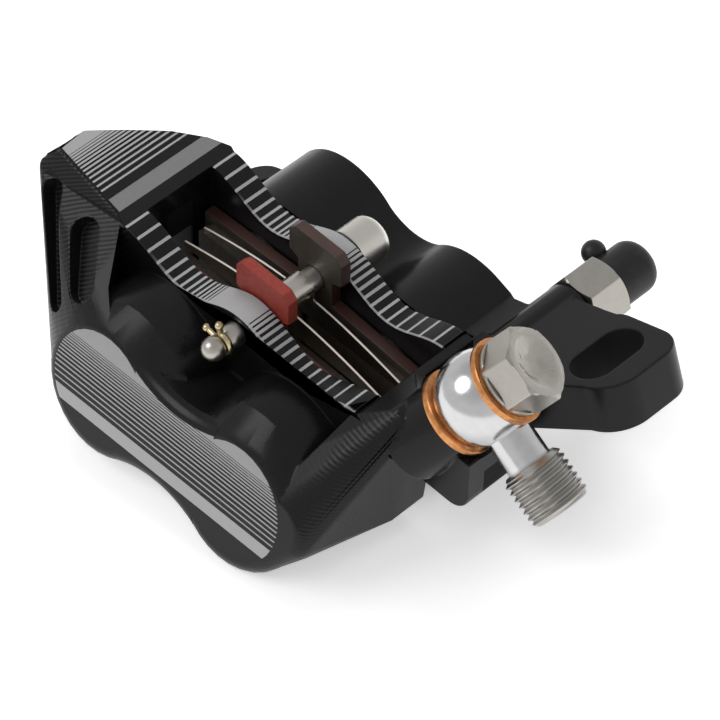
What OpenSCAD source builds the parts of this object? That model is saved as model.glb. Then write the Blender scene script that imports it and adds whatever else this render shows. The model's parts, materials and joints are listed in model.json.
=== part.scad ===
// Four-piston post-mount bicycle disc brake caliper, in millimetres.
// The pieces are drawn in the disc's own axes: T along the pad window, A across the disc
// and R up out of the disc's edge, with R = 0 at the ends of the rails. place() then turns
// them into the mount's axes: X from slot to slot, Y across the disc, Z along the bolts.

/* [Disc and window] */
// Diameter of the brake disc that runs in the slot
disc_d = 180; // [160:1:203]
// Thickness of the brake disc
disc_t = 1.8; // [1.5:0.1:2.3]
// Width of the slot that the disc runs in
disc_slot_w = 4.4; // [3.6:0.1:5]
// Depth of the disc's edge below the rails, at the middle of the window
disc_drop = 8; // [7:0.5:10]
// Room between the disc's edge and the bridges
disc_clear = 1.5; // [1:0.1:2]
// Length of the pad window
window_l = 46; // [44:0.5:50]
// Width of the pad window
window_w = 12; // [11:0.1:14]
// Width of each rail beside the window
rail_w = 4.4; // [3.5:0.1:5]
// Depth of the two dips in each rail
rail_dip = 3.9; // [2:0.1:4.5]

/* [Pistons] */
// Piston diameter
piston_d = 16; // [14:0.1:17]
// Room for oil behind a piston that is pushed back
piston_room = 1.5; // [1.2:0.1:2.5]
// Wall of the piston cup
piston_wall = 2; // [1:0.1:3]
// Distance between the two pistons on one side
piston_pitch = 25; // [24:0.1:26]
// Depth of the piston axes below the rails
piston_drop = 15; // [14.9:0.1:15.6]
// Radial clearance of a piston in its bore
piston_clear = 0.05; // [0.02:0.01:0.09]
// Wall of the housing round a bore
housing_wall = 3.1; // [2.9:0.1:3.1]
// Distance from the disc plane to the outer face of a housing, at the piston axes
housing_a = 23.6; // [23.4:0.1:24.4]
// Slope of the front face, its foot further from the disc
front_tilt = 17; // [14:0.5:18]
// Rounding of the front face's rim
front_rim = 2.3; // [1.5:0.1:2.5]
// Half height of the waist between two housings
waist_h = 6.5; // [6:0.1:7]
// Least wall closing the blind bores on the front
front_wall = 2.7; // [2.2:0.1:3]
// Width of a piston seal
seal_w = 2; // [1.5:0.1:2.5]
// Depth of a piston seal's groove
seal_depth = 1.4; // [1:0.1:1.6]
// Thickness of a bore cap
cap_t = 4.6; // [4:0.1:5]
// Shoulder by which a bore cap is wider than its bore
cap_step = 1.4; // [1:0.1:2]
// Width of a cap's seal groove
cap_seal_w = 1.4; // [1:0.1:1.8]
// Depth of a cap's seal groove
cap_seal_depth = 1; // [0.8:0.1:1.2]

/* [Pads] */
// Thickness of a backing plate
backing_t = 1.8; // [1.5:0.1:2]
// Thickness of a friction block
friction_t = 1.9; // [1:0.1:2]
// Play of a pad at each end of the window
pad_end_play = 0.6; // [0.3:0.1:1]
// Gap between a piston and its pad
pad_gap = 0.1; // [0.05:0.01:0.2]
// Height of a backing plate below its shoulders
backing_h = 20; // [18:0.1:22]
// Depth of the backing plate's shoulders below the rails
backing_drop = 6.2; // [6:0.1:7]
// Width of the tab's head
tab_w = 10.4; // [9:0.1:12]
// Height of the tab's head above the rails
tab_rise = 4.4; // [4:0.1:6]
// Height of the tab's head
tab_head_h = 5.2; // [4:0.1:6]
// Width of the tab's neck
tab_neck_w = 6.8; // [6.4:0.1:8]
// Sheet thickness of the pad spring
spring_t = 0.3; // [0.2:0.05:0.4]
// Diameter of the pad pin
pin_d = 3.6; // [3:0.1:4]
// Depth of the pad pin's axis below the rails
pin_drop = 2.8; // [2.6:0.1:3.2]
// Diameter of the pad pin's head
pin_head_d = 7; // [5.5:0.1:7.2]
// Length of the pad pin's head
pin_head_l = 6; // [4:0.1:7]
// Length of the pad pin's tail outside the rail
pin_tail_l = 6.2; // [5:0.1:7]
// Wire of the pin clip
clip_wire_d = 0.9; // [0.8:0.1:1.2]

/* [Mount] */
// Distance between the two mounting slots
mount_pitch = 74; // [72:0.5:76]
// Width of a mounting slot
slot_w = 6.4; // [6.2:0.1:6.8]
// Length of a mounting slot
slot_l = 11.6; // [9:0.1:12]
// Thickness of the mounting ears
ear_t = 7.6; // [7:0.1:8.4]
// Width of the mounting ears along the line of the slots
ear_w = 14.6; // [14:0.1:16]
// Length of the mounting ears across the disc
ear_l = 15.2; // [15:0.1:17]
// Corner radius of the mounting ears towards the disc
ear_near_r = 6; // [3:0.1:6.5]
// Corner radius of the mounting ears away from the disc
ear_far_r = 4; // [2:0.1:5]
// Distance from the disc plane to the line of the slots
mount_a = 20.5; // [20.3:0.1:22]
// Slope between the line of the slots and the pad window
mount_tilt = 20; // [18:0.5:22]
// Place of the far slot along the pad window, at the top of its ear
mount_t = 39.3; // [38:0.1:41]
// Height of the far slot's top above the rails
mount_r = 1.6; // [1:0.1:2]

/* [Hose end] */
// Place of the banjo bolt's seat along the pad window
banjo_t = 33.3; // [33:0.1:33.8]
// Place of the banjo bolt's seat across the disc
banjo_a = -2; // [-2.4:0.1:-1.7]
// Height of the banjo bolt's seat above the rails
banjo_r = 2.3; // [2:0.1:2.8]
// Lean of the banjo bolt across the disc
bolt_lean = 27; // [24:0.5:30]
// Radius of the banjo's round eye
eye_r = 6.6; // [6.2:0.1:6.8]
// Width of the banjo's eye
eye_w = 8; // [7.6:0.1:8.4]
// Outer diameter of the copper washers
washer_d = 12.4; // [11:0.1:12.8]
// Thickness of a copper washer
washer_t = 1; // [0.8:0.1:1]
// Thread diameter of the banjo bolt
bolt_d = 6; // [5:0.1:7]
// Width across the flats of the banjo bolt's head
bolt_af = 10; // [9:0.5:10]
// Height of the banjo bolt's head
bolt_head_h = 5.2; // [4.6:0.1:6]
// Depth of the bolt's thread in the lug
bolt_grip = 6; // [5.5:0.1:6.5]
// Slope of the hose neck below the pad window's line
neck_slope = 32.5; // [30:0.5:34]
// Diameter of the plain neck
neck_d = 6.4; // [5:0.1:7]
// Diameter of the hose thread
hose_thread_d = 9; // [8:0.1:9]
// Distance from the bolt to the start of the hose thread
hose_thread_start = 10.8; // [10.6:0.1:12]
// Length of the hose thread
hose_thread_l = 7.4; // [6:0.1:9]
// Bore of the hose neck
hose_bore_d = 3.2; // [2:0.1:4]

/* [Bleed end] */
// Place of the bleed screw along the pad window
bleed_t = 26; // [25.6:0.1:26.4]
// Depth of the bleed screw below the rails
bleed_drop = 7.4; // [7:0.1:7.8]
// Radius of the bleed boss
bleed_boss_r = 4.4; // [4.2:0.1:4.8]
// Outer end of the bleed boss, across the disc
bleed_boss_a = 28.7; // [28.4:0.1:29.5]
// Width across the flats of the bleed screw
bleed_af = 9; // [7:0.5:9]
// Height of the bleed screw's head
bleed_head_h = 6.4; // [4:0.1:7]
// Thread diameter of the bleed screw
bleed_d = 6; // [5:0.1:6.5]
// Length of the bleed nipple
bleed_nipple_l = 4.9; // [4.5:0.1:5.5]
// Outer diameter of the rubber cap
bleed_cap_d = 8; // [7.5:0.1:9]
// Length of the rubber cap
bleed_cap_l = 7.1; // [6.8:0.1:9]
// Diameter of the knob on the rubber cap
bleed_knob_d = 3.6; // [3:0.1:4.2]

/* [Hidden] */
$fn = 64;
HULL_FN = 32;
THROUGH = 60;
NEAR = -1;
FAR = 1;
LEFT = -1;
RIGHT = 1;
FIT = 0.02;

// Window, rails and disc
window_t = window_l / 2;
window_a = window_w / 2;
rail_a = window_a + rail_w;
disc_r = disc_d / 2;
disc_axis_r = -disc_drop - disc_r;
slot_r = disc_r + disc_clear;
rail_step = 24;
rail_hump = 0.3;

// Housings and bores
piston_r = piston_d / 2;
bore_r = piston_r + piston_clear;
housing_r = piston_r + housing_wall;
piston_t = piston_pitch / 2;
button_r = housing_r - 0.1;
button_t = piston_t + 0.5;
button_left_t = piston_t + 1.2;
button_drop = 1.2;
front_waist_h = waist_h + 1.2;
waist_t = (button_t + button_left_t) / 2;
waist_mid_t = (button_t - button_left_t) / 2;
waist_depth = 14;
valley_r = -12.4;
piston_a = window_a - pad_gap / 2;
front_a = housing_a + 6;
blind_a = housing_a - tan(front_tilt) * bore_r - front_wall;
piston_l = blind_a - piston_room - piston_a;
cap_a = housing_a - 0.4;
cap_r = bore_r + cap_step;
cap_seal_a = cap_a - cap_t / 2;
seal_a = window_a + 3;
seal_groove_r = bore_r + seal_depth;
oil_r = 0.9;
oil_a = blind_a - 1.5;

// Pads
backing_a = piston_a - pad_gap - backing_t;
friction_a = backing_a - friction_t;
pad_t = window_t - pad_end_play;
pad_slope = 1.2;
pin_hole_r = pin_d / 2 + 0.08;
friction_inset = 0.8;
friction_top = backing_drop + 2.3;
friction_foot = 1;
tab_chamfer = 1.2;

// Pad pin and clip
pin_r = pin_d / 2;
tip_a = -rail_a - pin_tail_l + pin_r;
clip_back = 1.55;
clip_a = tip_a + clip_back;
clip_gap = clip_wire_d / 2 + FIT;
land_turn = asin((clip_back - clip_gap) / pin_r);
clip_neck_r = pin_r * 0.6;

// Pad spring
leaf_a = 1.7;
leaf_l = 40;
leaf_rise = 3.1;
leaf_foot = friction_top - 0.4;
crown_r0 = pin_d / 2 + 0.1;
crown_r1 = crown_r0 + spring_t;

// Mount
mount_mid_t = mount_t - cos(mount_tilt) * mount_pitch / 2 + sin(mount_tilt) * ear_t;
mount_mid_r = mount_r - sin(mount_tilt) * mount_pitch / 2 - cos(mount_tilt) * ear_t;
ear_shift = 0.4;
web_y0 = -ear_l / 2 + ear_shift + 0.5;
web_y1 = housing_a - mount_a - 0.6;
web_x = mount_pitch / 2 - ear_w / 2 + ear_near_r;
web_root_x = 10;
gusset_root_x = web_root_x + 12;
gusset_foot_x = mount_pitch / 2 - 7.5;
gusset_tip_x = mount_pitch / 2 + 3.2;
gusset_near_y = -ear_l / 2 + ear_shift - 4.9;
gusset_tip_y = -ear_l / 2 + ear_shift + 0.6;
gusset_far_y = ear_l / 2 + ear_shift - 0.4;

// Left arm
arm_t = 40.4;
arm_h = 9;
arm_edge_t = 25.5;
arm_near_a = -7.2;
arm_tip_a = -2.4;
arm_root_a = rail_a + 0.4;
arm_lip = 0.25;
rib_root_a = 3.4;
bulge_t = 38.9;
bulge_a = -8.8;
bulge_r = 2.4;
bulge_foot_r = 1.5;
bulge_top = 1.2;
pocket_t = 12.5;
pocket_a = housing_a - 1.4;

// Right end and hose lug
bridge_t = window_t + 1.5;
bridge_h = 14;
bridge_w = 6;
abutment_w = 3.5;
abutment_drop = 22;
foot_t = 28.6;
foot_r = -19.5;
lug_t = banjo_t + 6;
lug_r = -11;
lug_corner_r = 3.5;
lug_root_t = 26;
ledge_r = -0.5;
ledge_lip = 1.4;
seat_r = washer_d / 2 + 0.6;
ledge_a0 = banjo_a - 3.5;
ledge_a1 = banjo_a + 6.6;
boss_r = washer_d / 2 - 0.8;
boss_l = bolt_grip + 3;
web_floor_t = 30;
web_floor_a = mount_a + web_y0 + 1;
web_floor_r = -3.5;

// Banjo
banjo_seat = [banjo_t, banjo_a, banjo_r];
bolt_axis = [cos(bolt_lean) * sin(neck_slope), sin(bolt_lean), cos(bolt_lean) * cos(neck_slope)];
eye_z0 = washer_t + FIT;
eye_z1 = eye_z0 + eye_w;
eye_mid_z = (eye_z0 + eye_z1) / 2;
bolt_head_z = eye_z1 + FIT + washer_t;
bolt_r = bolt_d / 2 - FIT;
eye_bore_r = bolt_d / 2 + 0.05;
washer_bore_r = eye_bore_r;
bolt_flange_t = 0.7;
bolt_flange_r = bolt_af / 2 + 0.5;
bolt_dish_r = bolt_af / 2 - 0.9;
bolt_dish_h = 1.4;
bolt_oil_r = 1.1;
thread_chamfer = 0.7;

// Bleed screw and cap
bleed_head_a = bleed_boss_a + FIT;
bleed_nipple_a = bleed_head_a + bleed_head_h;
bleed_r = bleed_d / 2 - FIT;
bleed_thread_l = 9;
bleed_nipple_r = 2.4;
bleed_oil_r = 0.8;
bleed_cap_a = bleed_nipple_a + 0.3;
bleed_cap_wall_r = bleed_nipple_r + 0.05;
bleed_knob_turn = 158;
bleed_knob_off = bleed_cap_d / 2 + bleed_knob_d / 2 - 0.9;

// Turns the disc's axes into the mount's axes.
module place()
    rotate([0, mount_tilt, 0])
        translate([-mount_mid_t, -mount_a, -mount_mid_r])
            children();

// Extrudes a T-R outline from a0 to a1 across the disc.
module across(a0, a1)
    translate([0, a1, 0])
        rotate([90, 0, 0])
            linear_extrude(a1 - a0)
                children();

// A round bar across the disc.
module rod(t, r, radius, a0, a1)
    translate([t, a1, r])
        rotate([90, 0, 0])
            cylinder(r = radius, h = a1 - a0);

// A ring across the disc.
module ring(t, r, outer, inner, a0, a1)
    difference() {
        rod(t, r, outer, a0, a1);
        rod(t, r, inner, a0 - 1, a1 + 1);
    }

// A box given by its two corners.
module block(t0, t1, a0, a1, r0, r1)
    translate([t0, a0, r0])
        cube([t1 - t0, a1 - a0, r1 - r0]);

// A six-sided head on Z with both rims turned down by a chamfer.
module hex_head(af, z0, z1)
    intersection() {
        translate([0, 0, z0])
            cylinder(d = af / cos(30), h = z1 - z0, $fn = 6);
        translate([0, 0, z0])
            rotate_extrude()
                polygon([[0, 0], [af / 2, 0], [af * 0.6, af * 0.06],
                         [af * 0.6, z1 - z0 - af * 0.06], [af / 2, z1 - z0], [0, z1 - z0]]);
    }

// Sets children on the banjo bolt's seat: Z along the bolt, X along the hose neck.
module on_seat()
    translate(banjo_seat)
        rotate([0, neck_slope, 0])
            rotate([-bolt_lean, 0, 0])
                children();

// A drilling from point p to point q.
module drilling(p, q, radius) {
    d = q - p;
    length = norm(d);
    translate(p)
        rotate([0, acos(d.z / length), atan2(d.y, d.x)])
            cylinder(r = radius, h = length);
}

// A slot outline, long along Y.
module slot_outline(width, length)
    union() {
        square([width, length - width], center = true);
        for (side = [-1, 1])
            translate([0, side * (length - width) / 2])
                circle(d = width);
    }

// Outline of a mounting ear about its slot, rounder on the disc's side.
module ear_outline()
    for (end = [[-1, ear_near_r], [1, ear_far_r]])
        translate([0, ear_shift])
            mirror([0, end[0] < 0 ? 1 : 0]) {
                translate([-ear_w / 2 + end[1], -1])
                    square([ear_w - 2 * end[1], ear_l / 2 + 1]);
                translate([-ear_w / 2, -1])
                    square([ear_w, ear_l / 2 - end[1] + 1]);
                for (x = [-1, 1])
                    translate([x * (ear_w / 2 - end[1]), ear_l / 2 - end[1]])
                        circle(r = end[1]);
            }

// Radius of the hollow of half height h that runs smoothly into two discs of radius r at +-t.
function hollow_r(t, r, h) = 1.03 * (h * h + t * t - r * r) / (2 * (r - h));

// Outline of the waist between two discs of radius r at +-t.
module waist_outline(t, r, h) {
    hollow = hollow_r(t, r, h);
    difference() {
        square([2 * 0.96 * t * hollow / (r + hollow), 2 * (h + 2)], center = true);
        for (side = [-1, 1])
            translate([0, side * (h + hollow)])
                circle(r = hollow);
    }
}

// Sets children on the sloping front face, their Z pointing out of it.
module on_front(t, rise, depth)
    translate([0, -housing_a, -piston_drop])
        rotate([90 - front_tilt, 0, 0])
            translate([t, rise, -depth])
                children();

// Flat disc on the front face with a rounded rim.
module front_button(t, rise, radius, depth) {
    steps = 4;
    on_front(t, rise, depth)
        rotate_extrude($fn = HULL_FN)
            polygon(concat([[0, -front_rim - 0.5], [radius, -front_rim - 0.5]],
                           [for (i = [0:steps])
                               let (turn = 90 * i / steps)
                               [radius - front_rim + front_rim * cos(turn),
                                -front_rim + front_rim * sin(turn)]],
                           [[0, 0]]));
}

// The two far housings.
module far_housings()
    across(window_a, housing_a) {
        for (hand = [LEFT, RIGHT])
            translate([hand * piston_t, -piston_drop])
                circle(r = housing_r);
        translate([0, -piston_drop])
            waist_outline(piston_t, housing_r, waist_h);
    }

// The two near housings, which end in the sloping front face.
module near_housings() {
    for (hand = [LEFT, RIGHT])
        hull() {
            front_button(hand > 0 ? button_t : -button_left_t, -button_drop, button_r, 0);
            rod(hand * piston_t, -piston_drop, housing_r, -housing_a + 6.5, -window_a, $fn = HULL_FN);
        }
    front_waist();
    block(-piston_t / 2, piston_t / 2, -housing_a + 8, -window_a, -piston_drop - waist_h, valley_r);
}

// The waist between the near housings, square to the front face, with a rounded rim.
module front_waist() {
    hollow = hollow_r(waist_t, button_r, front_waist_h);
    lean = cos(front_tilt);
    difference() {
        intersection() {
            on_front(waist_mid_t, -button_drop, waist_depth)
                linear_extrude(waist_depth)
                    waist_outline(waist_t, button_r, front_waist_h - 0.08);
            across(-front_a, -window_a)
                translate([waist_mid_t, -piston_drop - button_drop * lean]) {
                    waist_outline(waist_t, button_r * lean, front_waist_h * lean);
                    translate([-waist_t, 0])
                        square([2 * waist_t, piston_drop]);
                }
        }
        for (side = [-1, 1])
            on_front(waist_mid_t, -button_drop + side * (front_waist_h + hollow), 0)
                rotate_extrude($fn = 128)
                    difference() {
                        translate([0, -front_rim])
                            square([hollow + front_rim, front_rim + 1]);
                        translate([hollow + front_rim, -front_rim])
                            circle(r = front_rim);
                    }
    }
}

// Height of a rail's top along the window: ends and middle up, two dips between.
function rail_top(t) =
    -rail_dip * (1 - cos(720 * t / window_l)) / 2
    + rail_hump * (1 + cos(360 * t / window_l)) / 2;

module rail_outline()
    polygon(concat([[-window_t, -piston_drop]],
                   [for (i = [0:2 * rail_step])
                       let (t = window_t * (i / rail_step - 1))
                       [t, rail_top(t)]],
                   [[window_t, -piston_drop]]));

// The top of the left arm, seen from above.
module arm_outline()
    polygon([[-window_t, -rail_a], [-window_t, rail_a], [-window_t - 1, arm_root_a],
             [-window_t - 4.5, arm_root_a - 1.3], [-window_t - 9, arm_root_a - 4.3],
             [-window_t - 13.5, arm_root_a - 8.8], [-arm_t, arm_tip_a],
             [-arm_t + 0.4, arm_near_a], [-arm_edge_t, -rail_a + 1]]);

// The slanting rib that carries the arm down to the near left housing.
module arm_rib()
    hull() {
        translate([0, 0, -arm_h])
            linear_extrude(arm_h - arm_lip)
                polygon([[-window_t, -rail_a + 0.2], [-window_t, -rib_root_a],
                         [-arm_t + 0.3, -rib_root_a], [-arm_t + 0.7, arm_near_a + 0.2],
                         [-arm_edge_t, -rail_a + 1.2]]);
        translate([-bulge_t, bulge_a, -arm_h - 1])
            cylinder(r1 = bulge_foot_r, r2 = bulge_r, h = arm_h + 1 - bulge_top, $fn = HULL_FN);
        front_button(-button_left_t, -button_drop, button_r - 0.1, 0.1);
    }

// The right end wall, drawn out from the near right housing to the hose lug.
module end_wall()
    hull() {
        block(window_t - 0.4, bridge_t, -rail_a, 1, -4, -arm_lip);
        front_button(button_t + 8, 0.5, button_r / 2 + 0.3, 0.1);
        front_button(button_t + 3, -2.5, button_r - 3.2, 0.1);
        block(window_t, foot_t, -8, -disc_slot_w / 2, foot_r, lug_r);
        rod(banjo_t - 5, banjo_r - 1.8, 2.4, banjo_a - 6, banjo_a - 1.5, $fn = HULL_FN);
    }

// The wall under the bridge that the pads' left ends push against.
module left_abutment()
    hull() {
        block(-window_t - bridge_w, -window_t + 1, -rail_a, rail_a, -bridge_h, -bridge_h + 1);
        block(-window_t - abutment_w, -window_t + 1, -rail_a, rail_a,
              -abutment_drop, -abutment_drop + 1);
    }

// The hollow over the near housings, which shows their round tops.
module near_pocket()
    linear_extrude(THROUGH, center = true)
        polygon([[-window_t - 1.2, -rail_a], [-window_t + 4, -housing_a + 6.6],
                 [-pocket_t, -pocket_a], [-pocket_t, -THROUGH], [piston_t + 6, -THROUGH],
                 [piston_t + 6, -pocket_a], [window_t - 0.6, -rail_a]]);

// A milled groove from p to q in a face that looks along n.
module groove(p, q, n, width, depth) {
    along = (q - p) / norm(q - p);
    over = cross(along, n) / norm(cross(along, n));
    out = cross(over, along);
    mid = (p + q) / 2;
    multmatrix([[over.x, along.x, out.x, mid.x],
                [over.y, along.y, out.y, mid.y],
                [over.z, along.z, out.z, mid.z],
                [0, 0, 0, 1]])
        translate([0, 0, -depth])
            linear_extrude(depth + 3)
                slot_outline(width, norm(q - p));
}

// Two long grooves down the outside of the arm's rib.
module rib_grooves() {
    groove([-bulge_t + 1.8, bulge_a - 2.2, -bulge_top - 0.2], [-window_t - 2.8, -housing_a + 2.5, -12],
           [-0.25, -0.8, 0.55], 3.4, 1.8);
    groove([-window_t - 5.9, bulge_a - 3.4, -bulge_top - 0.5], [-window_t + 1.4, -housing_a + 3.7, -7.5],
           [-0.1, -0.62, 0.77], 4.2, 2.2);
}

// Lug that the banjo is bolted to, with a lip round its spot-faced seat.
module hose_lug() {
    difference() {
        across(ledge_a0, ledge_a1) {
            translate([lug_root_t, lug_r + lug_corner_r])
                square([lug_t - lug_root_t, ledge_r - lug_r - lug_corner_r]);
            translate([lug_root_t, lug_r])
                square([lug_t - lug_root_t - lug_corner_r, lug_corner_r + 1]);
            translate([lug_t - lug_corner_r, lug_r + lug_corner_r])
                circle(r = lug_corner_r);
        }
        on_seat() {
            cylinder(r = seat_r, h = THROUGH);
            translate([-THROUGH / 2, -THROUGH / 2, ledge_lip])
                cube(THROUGH);
        }
    }
    on_seat()
        translate([0, 0, -boss_l])
            cylinder(r = boss_r, h = boss_l);
}

// The right ear's gusset, which widens towards the hose lug and the bleed boss.
module gusset_outline()
    polygon([[gusset_root_x, gusset_near_y], [gusset_foot_x, gusset_near_y],
             [gusset_tip_x, gusset_tip_y], [web_x - 2, gusset_far_y],
             [gusset_root_x, gusset_far_y - 1.2]]);

// Mounting ear on one side, with the web that joins it to the far housings.
module ear(side) {
    linear_extrude(ear_t) {
        translate([side * mount_pitch / 2, 0])
            ear_outline();
        translate([side > 0 ? web_root_x : -web_x, web_y0])
            square([web_x - web_root_x, web_y1 - web_y0]);
        if (side == RIGHT)
            gusset_outline();
    }
}

// Bore with its seal groove; the far bores run out to a cap seat.
module bore(side, hand) {
    t = hand * piston_t;
    reach = side == NEAR ? blind_a : housing_a + 1;
    mirror([0, side == NEAR ? 1 : 0, 0]) {
        rod(t, -piston_drop, bore_r, 0, reach);
        rod(t, -piston_drop, seal_groove_r, seal_a, seal_a + seal_w);
        if (side == FAR)
            rod(t, -piston_drop, cap_r, cap_a - cap_t, housing_a + 1);
    }
}

// Drillings that feed all four bores, the bleed screw and the hose.
module oil_ways() {
    bolt_tip = banjo_seat - (bolt_grip - 0.5) * bolt_axis;
    for (a = [-oil_a, oil_a - 3.4])
        drilling([-piston_t, a, -piston_drop], [piston_t, a, -piston_drop], oil_r);
    drilling(bolt_tip, [piston_t, -oil_a, -piston_drop], oil_r);
    drilling([piston_t, oil_a - 3.4, -piston_drop], [bleed_t, oil_a - 3.4, -bleed_drop], oil_r);
    drilling([bleed_t, bleed_boss_a - 2, -bleed_drop], [bleed_t, bolt_tip.y, -bleed_drop], oil_r);
    drilling([bleed_t, bolt_tip.y + oil_r, -bleed_drop], bolt_tip, oil_r);
}

module caliper_body()
    color([0.07, 0.07, 0.08])
        difference() {
            union() {
                place() {
                    for (side = [NEAR, FAR])
                        mirror([0, side == NEAR ? 1 : 0, 0])
                            across(window_a - 0.5, rail_a)
                                rail_outline();
                    near_housings();
                    far_housings();
                    translate([0, 0, -arm_h])
                        linear_extrude(arm_h)
                            arm_outline();
                    block(-window_t - bridge_w, -window_t + 1, -rail_a, rail_a, -bridge_h, -arm_h + 1);
                    left_abutment();
                    block(window_t - 0.3, bridge_t, -rail_a, rail_a, -bridge_h, 0);
                    block(window_t - 1, web_floor_t, ledge_a1 - 1, web_floor_a,
                          -bridge_h + 1.5, web_floor_r);
                    difference() {
                        union() {
                            arm_rib();
                            end_wall();
                        }
                        near_pocket();
                    }
                    hose_lug();
                    rod(bleed_t, -bleed_drop, bleed_boss_r, rail_a - 1, bleed_boss_a);
                }
                ear(LEFT);
                ear(RIGHT);
            }
            place() {
                block(-window_t, window_t, -window_a, window_a, -THROUGH, THROUGH);
                rod(0, disc_axis_r, slot_r, -disc_slot_w / 2, disc_slot_w / 2, $fn = 256);
                for (side = [NEAR, FAR], hand = [LEFT, RIGHT])
                    bore(side, hand);
                rod(0, -pin_drop, pin_d / 2 + FIT, -rail_a - 1, rail_a + 1);
                on_seat()
                    translate([0, 0, -bolt_grip - 0.5])
                        cylinder(d = bolt_d, h = bolt_grip + 1.5);
                rod(bleed_t, -bleed_drop, bleed_d / 2, bleed_boss_a - bleed_thread_l - 1, bleed_boss_a + 1);
                oil_ways();
                rib_grooves();
            }
            for (side = [LEFT, RIGHT])
                translate([side * mount_pitch / 2, 0, -1])
                    linear_extrude(ear_t + 2)
                        slot_outline(slot_w, slot_l);
        }

// Screwed cap that closes a far bore, with two holes for a pin spanner.
module bore_cap(hand) {
    spanner_r = 1.1;
    color([0.16, 0.16, 0.17])
        place()
            difference() {
                rod(hand * piston_t, -piston_drop, cap_r - FIT, cap_a - cap_t + FIT, cap_a);
                for (turn = [0, 180])
                    rod(hand * piston_t + cos(turn) * piston_r * 0.7, -piston_drop,
                        spanner_r, cap_a - 2, cap_a + 1);
                ring(hand * piston_t, -piston_drop, cap_r + 1, cap_r - cap_seal_depth,
                     cap_seal_a - cap_seal_w / 2, cap_seal_a + cap_seal_w / 2);
            }
}

module cap_seal(hand)
    color([0.05, 0.05, 0.05])
        place()
            ring(hand * piston_t, -piston_drop, cap_r - FIT, cap_r - cap_seal_depth + FIT,
                 cap_seal_a - cap_seal_w / 2 + FIT, cap_seal_a + cap_seal_w / 2 - FIT);

// Cup piston, its mouth towards the pad.
module piston(side, hand)
    color([0.75, 0.75, 0.76])
        place()
            mirror([0, side == NEAR ? 1 : 0, 0])
                difference() {
                    rod(hand * piston_t, -piston_drop, piston_r, piston_a, piston_a + piston_l);
                    rod(hand * piston_t, -piston_drop, piston_r - piston_wall, piston_a - 1,
                        piston_a + piston_l - piston_wall);
                }

module piston_seal(side, hand)
    color([0.05, 0.05, 0.05])
        place()
            mirror([0, side == NEAR ? 1 : 0, 0])
                ring(hand * piston_t, -piston_drop, seal_groove_r - FIT, bore_r - FIT / 2,
                     seal_a + FIT, seal_a + seal_w - FIT);

// Outline of a backing plate with its T-shaped tab.
module backing_outline() {
    head_r = tab_rise - tab_head_h;
    polygon([[-pad_t, -backing_drop - pad_slope], [-pad_t, -backing_drop - backing_h + 4],
             [-pad_t + 4, -backing_drop - backing_h], [pad_t - 4, -backing_drop - backing_h],
             [pad_t, -backing_drop - backing_h + 4], [pad_t, -backing_drop - pad_slope],
             [tab_neck_w / 2, -backing_drop], [tab_neck_w / 2, head_r - 0.8],
             [tab_w / 2, head_r], [tab_w / 2, tab_rise - tab_chamfer],
             [tab_w / 2 - tab_chamfer, tab_rise], [-tab_w / 2 + tab_chamfer, tab_rise],
             [-tab_w / 2, tab_rise - tab_chamfer], [-tab_w / 2, head_r],
             [-tab_neck_w / 2, head_r - 0.8], [-tab_neck_w / 2, -backing_drop]]);
}

module pad_plate(side)
    color([0.62, 0.11, 0.09])
        place()
            mirror([0, side == NEAR ? 1 : 0, 0])
                difference() {
                    across(backing_a, backing_a + backing_t)
                        backing_outline();
                    rod(0, -pin_drop, pin_hole_r, backing_a - 1, backing_a + backing_t + 1);
                }

module pad_friction(side) {
    t = pad_t - friction_inset;
    foot = -backing_drop - backing_h + friction_foot;
    color([0.25, 0.2, 0.17])
        place()
            mirror([0, side == NEAR ? 1 : 0, 0])
                difference() {
                    across(friction_a, backing_a)
                        polygon([[-t, -friction_top - 1], [-t, foot + 5], [-t + 5, foot], [t - 5, foot],
                                 [t, foot + 5], [t, -friction_top - 1], [t - 1, -friction_top],
                                 [-t + 1, -friction_top]]);
                    across(friction_a - 1, friction_a + friction_t / 2)
                        translate([-0.6, -THROUGH / 2])
                            square([1.2, THROUGH]);
                }
}

// Outline of one leaf of the pad spring: an arched top edge and a round collar on the pin.
module leaf_outline() {
    steps = 10;
    half = leaf_l / 2;
    polygon(concat([[-half, -leaf_foot]],
                   [for (i = [-steps:steps])
                       let (t = i * half / steps)
                       [t, -leaf_foot + 0.9 + leaf_rise * cos(90 * t / half)]],
                   [[half, -leaf_foot]]));
    translate([-crown_r1, -leaf_foot])
        square([2 * crown_r1, leaf_foot - pin_drop]);
    translate([0, -pin_drop])
        circle(r = crown_r1);
}

module pad_spring()
    color([0.72, 0.71, 0.68])
        place() {
            for (side = [NEAR, FAR])
                mirror([0, side == NEAR ? 1 : 0, 0])
                    difference() {
                        across(leaf_a, leaf_a + spring_t)
                            leaf_outline();
                        rod(0, -pin_drop, crown_r0, leaf_a - 1, leaf_a + 1);
                    }
            intersection() {
                ring(0, -pin_drop, crown_r1, crown_r0, -leaf_a - spring_t, leaf_a + spring_t);
                block(-crown_r1 - 1, crown_r1 + 1, -THROUGH, THROUGH, -pin_drop, THROUGH);
            }
        }

// Points of an arc about [0, middle], for turned pieces.
function arc(radius, middle, from, to, steps) =
    [for (i = [0:steps])
        let (turn = from + (to - from) * i / steps)
        [radius * cos(turn), middle + radius * sin(turn)]];

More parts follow.
